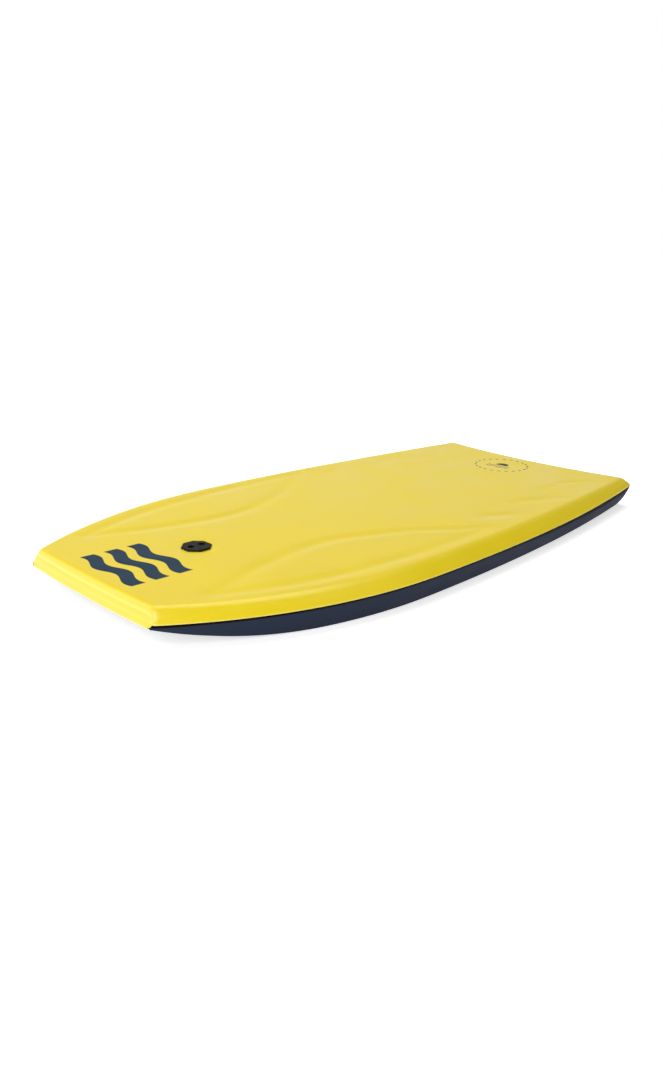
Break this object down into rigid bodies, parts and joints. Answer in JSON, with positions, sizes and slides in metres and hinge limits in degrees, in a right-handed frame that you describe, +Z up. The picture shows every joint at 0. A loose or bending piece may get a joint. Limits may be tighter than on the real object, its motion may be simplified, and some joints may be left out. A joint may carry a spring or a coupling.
{
  "type": "bodyboard",
  "caption": "Foam bodyboard with a crescent tail, chined two-colour rails, rockered nose, slick bottom, inner stringer and a screw-together leash plug.",
  "frame": {"origin": "centre of the footprint, on the ground under the flat stretch of the slick", "axes": "+Z up out of the deck, -Y towards the nose, +X towards the rider's left"},
  "size_m": [0.568, 1.0752, 0.0577],
  "materials": {
    "deck_foam": "satin closed-cell foam with a fine pebble",
    "rail_foam": "satin closed-cell foam",
    "core_foam": "beaded white foam",
    "mesh_net": "woven polymer net",
    "slick_skin": "smooth hard skin with a fine lengthwise grain",
    "stringer_carbon": "pultruded carbon composite",
    "cap_plastic": "moulded",
    "plug_plastic": "moulded, fine texture"
  },
  "bodies": {
    "root": {"core": "core_foam", "deck_skin": "deck_foam", "upper_rail_left": "deck_foam", "upper_rail_right": "deck_foam", "lower_rail_left": "rail_foam", "lower_rail_right": "rail_foam", "nose_bumper": "deck_foam", "tail_bumper": "deck_foam", "bottom_mesh": "mesh_net", "slick": "slick_skin", "stringer_tube": "stringer_carbon", "stringer_cap_front": "cap_plastic", "stringer_cap_rear": "cap_plastic", "leash_plug_top": "plug_plastic", "leash_plug_bottom": "plug_plastic"}
  },
  "joints": []
}
